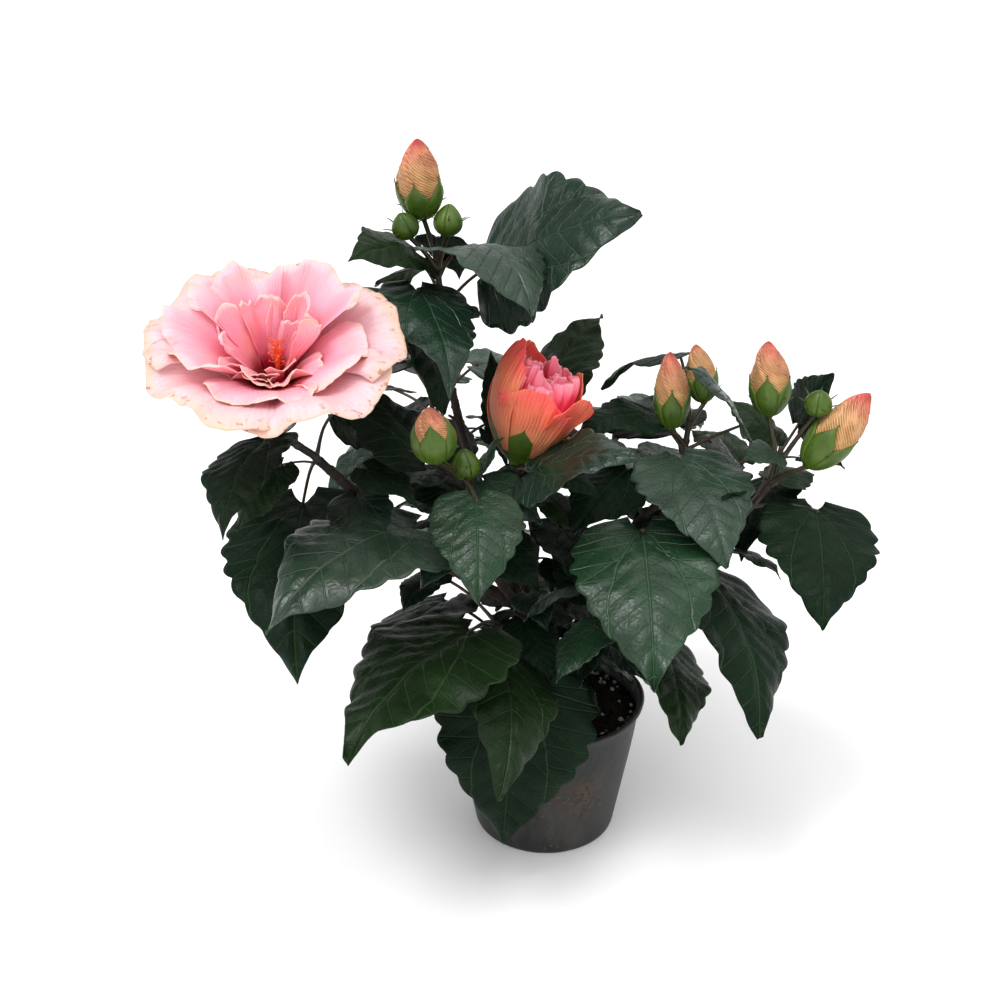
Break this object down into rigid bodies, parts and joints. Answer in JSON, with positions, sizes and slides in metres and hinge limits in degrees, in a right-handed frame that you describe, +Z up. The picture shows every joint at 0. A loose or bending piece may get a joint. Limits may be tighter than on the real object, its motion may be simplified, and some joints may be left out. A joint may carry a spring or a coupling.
{
  "type": "hibiscus shrub",
  "caption": "Potted flowering shrub: short forked woody stem, broad toothed dark leaves, a large ruffled double bloom, a half-open bloom and buds, in a plain round tapered pot.",
  "frame": {"origin": "centre of the pot's flat underside", "axes": "+Z up, -Y towards the plant's front, +X to the right seen from the front"},
  "size_m": [0.4024, 0.3278, 0.449],
  "materials": {
    "pot": "thin moulded grey plastic, matt, dusty",
    "soil": "moist dark potting compost",
    "perlite": "small white and tan grains, rough",
    "root": "thin pale brown roots",
    "bark": "dark brown bark, rough",
    "twig": "brown green twig, slightly rough",
    "leaf_stalk": "reddish green stalk, slightly glossy",
    "foliage": "dark green leaf, half glossy above and paler below",
    "calyx": "bright green, waxy",
    "bud": "furled petals, peach with red lines",
    "petal_pink": "soft pink petal with cream and salmon edges",
    "petal_coral": "coral petal, hot pink inside",
    "style": "orange red style"
  },
  "bodies": {
    "root": {"pot": "pot", "soil": "soil", "trunk": "bark", "bough_back_left": "bark", "bough_back_right": "bark", "bough_centre": "bark", "bough_front": "bark", "bough_left": "bark", "bough_outer": "bark", "bough_right": "bark", "bough_top": "bark", "leaves_back_left": "foliage", "leaves_back_right": "foliage", "leaves_centre": "foliage", "leaves_front": "foliage", "leaves_left": "foliage", "leaves_low_back": "foliage", "leaves_low_left": "foliage", "leaves_low_right": "foliage", "leaves_outer": "foliage", "leaves_right": "foliage", "leaves_top": "foliage"}
  },
  "joints": []
}
